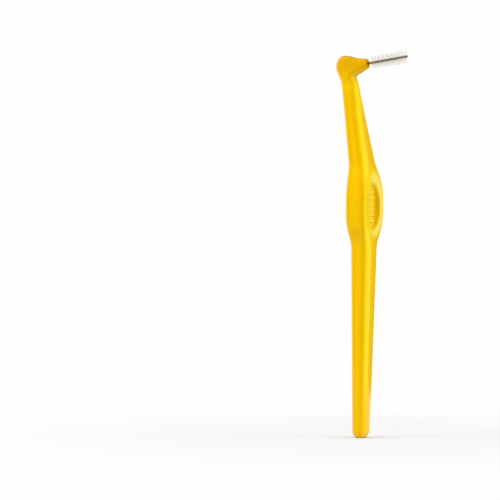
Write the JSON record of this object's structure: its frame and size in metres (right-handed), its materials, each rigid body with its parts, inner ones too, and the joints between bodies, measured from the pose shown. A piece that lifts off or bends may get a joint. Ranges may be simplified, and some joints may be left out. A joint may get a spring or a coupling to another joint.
{
  "type": "interdental brush",
  "caption": "Angled interdental brush: slim plastic handle with an oval thumb recess, bent neck, tapered nose and a fine twisted-wire brush with straight filaments.",
  "frame": {"origin": "middle of the grip, on the handle's centre line at the height of the thumb recess's centre", "axes": "+Z along the handle from the tail to the head, +X the way the nose and the wire point and the thumb recess faces, +Y across the handle"},
  "size_m": [0.0192, 0.0126, 0.0979],
  "materials": {
    "handle": "satin moulded polypropylene, warm yellow",
    "wire": "drawn stainless wire",
    "coating": "thin grey polyurethane skin",
    "filament": "clear white nylon"
  },
  "bodies": {
    "root": {"handle": "handle", "wire_core": "wire", "wire_coating": "coating", "filaments_turn_1": "filament", "filaments_turn_2": "filament", "filaments_turn_3": "filament", "filaments_turn_4": "filament", "filaments_turn_5": "filament", "filaments_turn_6": "filament", "filaments_turn_7": "filament"}
  },
  "joints": []
}
